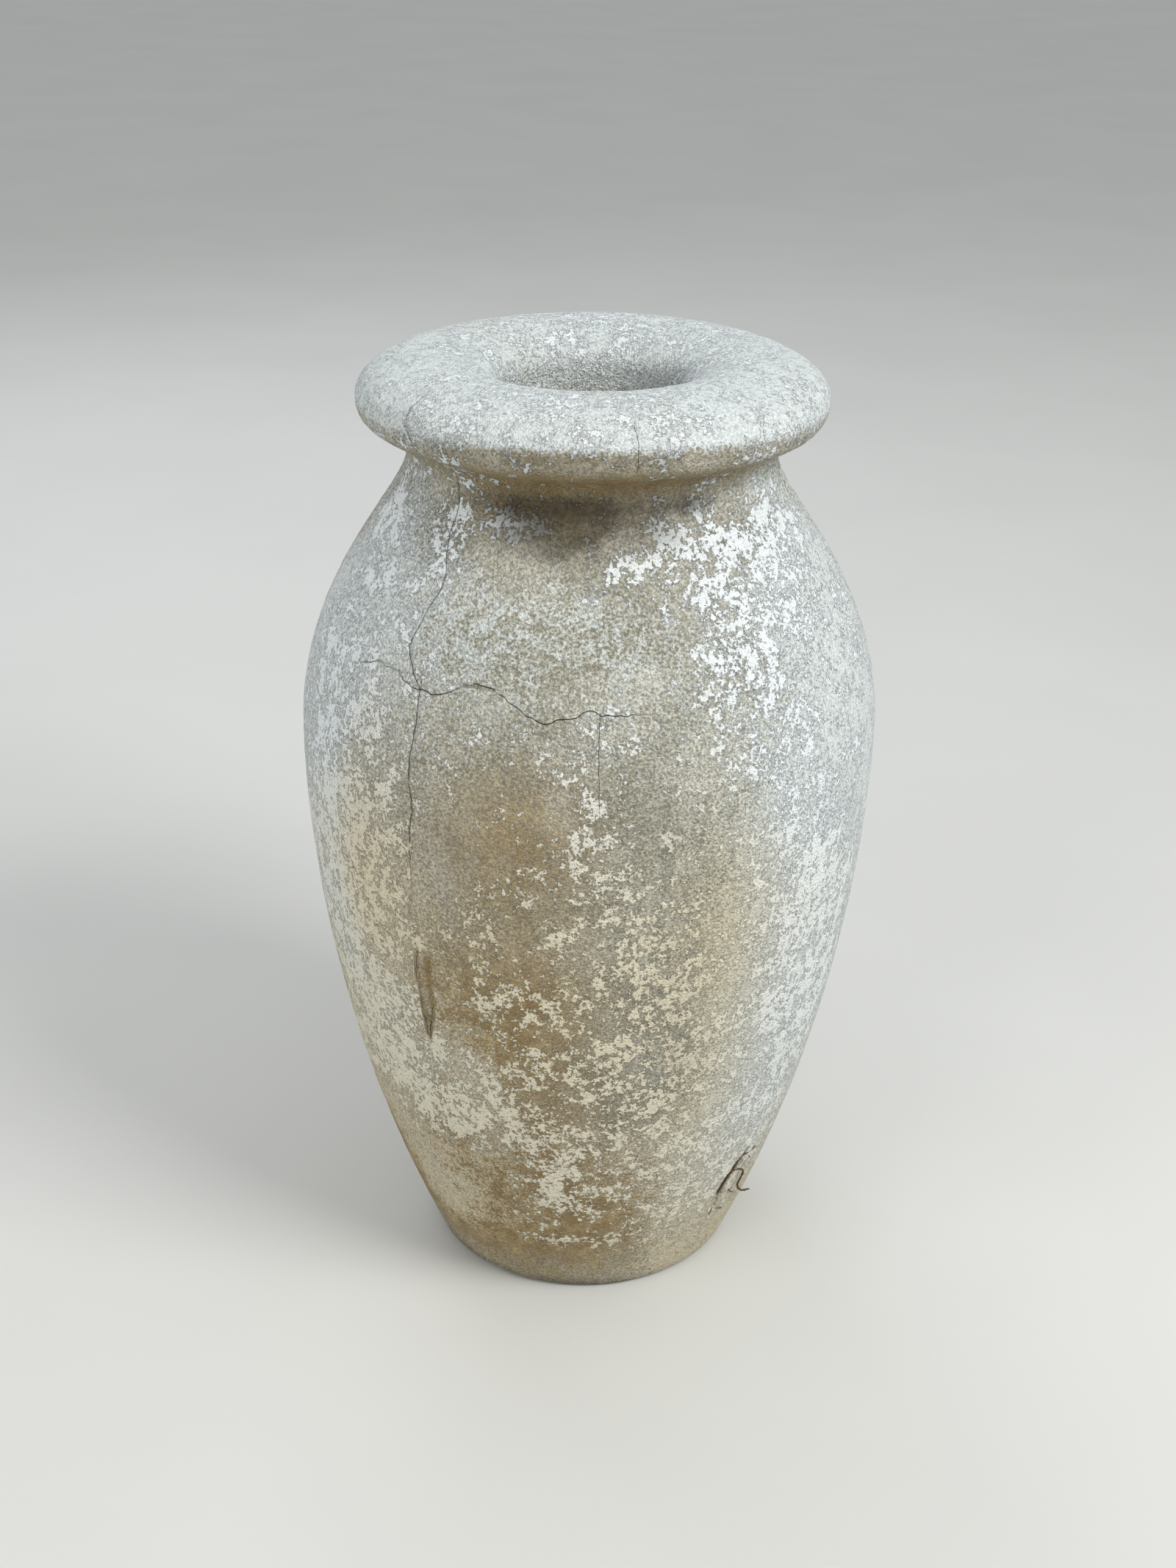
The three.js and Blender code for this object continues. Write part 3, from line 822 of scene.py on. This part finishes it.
def limewashed_cement():
    """Sand-cement render under the last of a white limewash. The wash has flaked off in patches, so crisp
    chalky flakes ringed with painted shadow, a thin grey film and a gritty, ochre-stained ground show side
    by side, under soot, rust and green-grey streaks, and painted shade darkens the underside of the rim and
    the foot."""
    material, tree, shader, place = new_material("limewashed_sand_cement")

    def maths(operation, a, b):
        return add(tree, "ShaderNodeMath", {0: a, 1: b}, operation=operation).outputs[0]

    def noise(size_mm, detail, vector=place, rough=0.55):
        size = {"Vector": vector, "Scale": 1000 / size_mm, "Detail": detail, "Roughness": rough}
        return add(tree, "ShaderNodeTexNoise", size).outputs["Fac"]

    def band(value, low, high, to=(0, 1)):
        ends = {"Value": value, "From Min": low, "From Max": high, "To Min": to[0], "To Max": to[1]}
        return add(tree, "ShaderNodeMapRange", ends, interpolation_type="SMOOTHSTEP").outputs["Result"]

    def sway(value, texture, amount):
        terms = {0: texture, 1: amount, 2: maths("SUBTRACT", value, amount / 2)}
        return add(tree, "ShaderNodeMath", terms, operation="MULTIPLY_ADD").outputs[0]

    def mix(factor, a, b):
        node = add(tree, "ShaderNodeMix", {"Factor": factor}, data_type="RGBA")
        for socket, value in ((node.inputs[6], a), (node.inputs[7], b)):
            if isinstance(value, bpy.types.NodeSocket):
                tree.links.new(value, socket)
            else:
                socket.default_value = linear(value)
        return node.outputs[2]

    def shade(colour, amount):
        return add(tree, "ShaderNodeVectorMath", {0: colour, "Scale": amount}, operation="SCALE").outputs[0]

    def parts(name):
        read = add(tree, "ShaderNodeAttribute", attribute_name=name).outputs["Vector"]
        return add(tree, "ShaderNodeSeparateXYZ", {"Vector": read}).outputs

    flake, film, chill = parts("lime")
    # ochre and soot hold painted shade under the rim and at the foot as well as real stains
    ochre, soot_and_shade, rust = parts("stain_and_shade")
    streak = add(tree, "ShaderNodeAttribute", attribute_name="streak").outputs["Fac"]

    clumps = noise(12, 5, rough=0.66)
    lace = noise(3.3, 5, rough=0.72)
    grains = add(tree, "ShaderNodeTexVoronoi", {"Vector": place, "Scale": 1000 / 1.3}).outputs
    grain_tone = add(tree, "ShaderNodeSeparateColor", {"Color": grains["Color"]}).outputs["Red"]
    sand = sway(noise(1.7, 2, rough=0.6), grain_tone, 0.20)
    cloud = noise(45, 4)
    upright = add(tree, "ShaderNodeMapping", {"Vector": place, "Scale": (1, 1, 0.14)}).outputs["Vector"]
    runs = noise(8, 5, upright, 0.62)

    # Bare ground: sandy grey warmed by ochre, every grain of sand catching light or shade
    ground = mix(band(cloud, 0.36, 0.64), "9b998b", "b1afa3")
    ochre_seen = band(sway(sway(ochre, runs, 0.5), clumps, 0.5), 0.02, 0.95)
    ground = shade(ground, band(sand, 0.28, 0.72, (0.62, 1.34)))
    stained = shade(mix(band(clumps, 0.40, 0.62), "8f7b58", "aa9770"), band(sand, 0.28, 0.72, (0.80, 1.16)))
    ground = mix(ochre_seen, ground, stained)
    green = maths("MULTIPLY", streak, band(runs, 0.44, 0.64))
    ground = mix(maths("MULTIPLY", green, 0.6), ground, "7d8074")

    # Film: a thin grey veil of wash that lets the grain through
    film_seen = band(sway(sway(sway(film, clumps, 0.60), lace, 0.75), sand, 0.45), 0.40, 0.68)
    veil = shade(mix(chill, "d1c7ac", "dce5e8"), band(sand, 0.28, 0.68, (0.80, 1.10)))
    colour = mix(maths("MULTIPLY", film_seen, 0.82), ground, veil)

    # Flakes: crisp islands, cream low down and a cool white high up, with painted shadow round their edges
    flake_value = sway(sway(sway(sway(flake, clumps, 0.62), lace, 0.92), runs, 0.22), sand, 0.14)
    whole = band(flake_value, 0.475, 0.525)
    white = shade(mix(chill, "dcd4bc", "e6edf0"), band(sand, 0.26, 0.62, (0.88, 1.04)))
    colour = mix(whole, colour, white)
    # A painted shadow darkens the colour along each flake's edge
    flake_edge_shadow = maths("MULTIPLY", band(flake_value, 0.43, 0.47), band(flake_value, 0.51, 0.47))
    colour = shade(colour, band(flake_edge_shadow, 0.0, 1.0, (1.0, 0.82)))

    # Soot, with the painted shade under the rim and at the foot, and rust over both, and the dark of the
    # hair cracks
    soot_and_shade_seen = band(sway(sway(soot_and_shade, clumps, 0.5), lace, 0.35), 0.06, 1.0)
    colour = mix(maths("MULTIPLY", soot_and_shade_seen, 0.88), colour, "413a2b")
    rust_seen = band(sway(rust, lace, 0.8), 0.10, 0.80)
    deep_rust = band(lace, 0.48, 0.60)
    colour = mix(maths("MULTIPLY", rust_seen, 0.72), colour, mix(deep_rust, "8f7a52", "665134"))
    dark = None
    for distance, width in zip(parts("cracks"), (0.5, 0.4, 0.8)):
        line = band(maths("ABSOLUTE", distance, 0.0), width, width * 0.35)
        dark = line if dark is None else maths("MAXIMUM", dark, line)
    colour = mix(maths("MULTIPLY", dark, 0.7), colour, "332c20")
    tree.links.new(colour, shader.inputs["Base Color"])

    # Chalky and matt throughout, a little closer where a flake is whole
    tree.links.new(band(whole, 0.0, 1.0, (0.95, 0.80)), shader.inputs["Roughness"])
    shader.inputs["Specular IOR Level"].default_value = 0.25
    dome = maths("MULTIPLY", maths("SUBTRACT", 1.0, grains["Distance"]), 0.4)
    grit = maths("ADD", sway(maths("MULTIPLY", sand, 0.7), lace, 0.5), dome)
    height = maths("SUBTRACT", sway(grit, whole, 0.6), dark)
    bump = add(tree, "ShaderNodeBump", {"Height": height, "Strength": 1.0, "Distance": 0.0019})
    tree.links.new(bump.outputs["Normal"], shader.inputs["Normal"])
    return material


def raw_mortar():
    """Cement mortar left rough in the joints: grey, open and gritty."""
    material, tree, shader, place = new_material("raw_cement_mortar")
    grit = add(tree, "ShaderNodeTexNoise", {"Vector": place, "Scale": 700.0, "Detail": 3.0})
    ramp = add(tree, "ShaderNodeValToRGB", {"Fac": grit.outputs["Fac"]})
    ramp.color_ramp.elements[0].color = linear("4e483c")
    ramp.color_ramp.elements[1].color = linear("9a9384")
    tree.links.new(ramp.outputs["Color"], shader.inputs["Base Color"])
    shader.inputs["Roughness"].default_value = 0.95
    bump = add(tree, "ShaderNodeBump", {"Height": grit.outputs["Fac"], "Strength": 0.6, "Distance": 0.0008})
    tree.links.new(bump.outputs["Normal"], shader.inputs["Normal"])
    return material


def rusted_wire():
    """Mild steel wire rusted through its skin: scaly brown with orange bloom, no bright metal left."""
    material, tree, shader, place = new_material("rusted_steel_wire")
    scaly = {"Vector": place, "Scale": 900.0, "Detail": 4.0, "Roughness": 0.65}
    scale = add(tree, "ShaderNodeTexNoise", scaly)
    ramp = add(tree, "ShaderNodeValToRGB", {"Fac": scale.outputs["Fac"]})
    ramp.color_ramp.elements[0].position = 0.35
    ramp.color_ramp.elements[0].color = linear("3a2d1e")
    ramp.color_ramp.elements[1].position = 0.68
    ramp.color_ramp.elements[1].color = linear("6e5a3c")
    tree.links.new(ramp.outputs["Color"], shader.inputs["Base Color"])
    rough = add(tree, "ShaderNodeMapRange", {"Value": scale.outputs["Fac"], "To Min": 0.65, "To Max": 0.95})
    tree.links.new(rough.outputs["Result"], shader.inputs["Roughness"])
    shader.inputs["Metallic"].default_value = 0.2
    relief = {"Height": scale.outputs["Fac"], "Strength": 0.7, "Distance": 0.0005}
    bump = add(tree, "ShaderNodeBump", relief)
    tree.links.new(bump.outputs["Normal"], shader.inputs["Normal"])
    return material


cement = limewashed_cement()
mortar = raw_mortar()
rust_steel = rusted_wire()


def dress(piece, finish, slot, *nodes):
    """Gives a piece its finish, and lets it stand for CAD nodes on the jar's one body. slot is not used."""
    piece.data.materials.append(finish)
    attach(piece, "root")
    if nodes:
        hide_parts(*nodes)


dress(foot_slab, cement, "cement", "foot_slab")
dress(body_wall, cement, "cement", "body_wall")
dress(shoulder_wall, cement, "cement", "shoulder_wall")
dress(rim_ring, cement, "cement", "rim_ring")
for bed, piece in joints.items():
    dress(piece, mortar, "mortar", "bed_" + bed)
dress(hook, rust_steel, "strand", "strand_hook")
dress(straight, rust_steel, "strand", "strand_straight")
for hair in hairs:
    dress(hair, rust_steel, "strand")
for node_name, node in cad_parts.items():
    if node_name.startswith(("upright_", "hoop_")):
        for material_slot in node.material_slots:
            material_slot.material = rust_steel
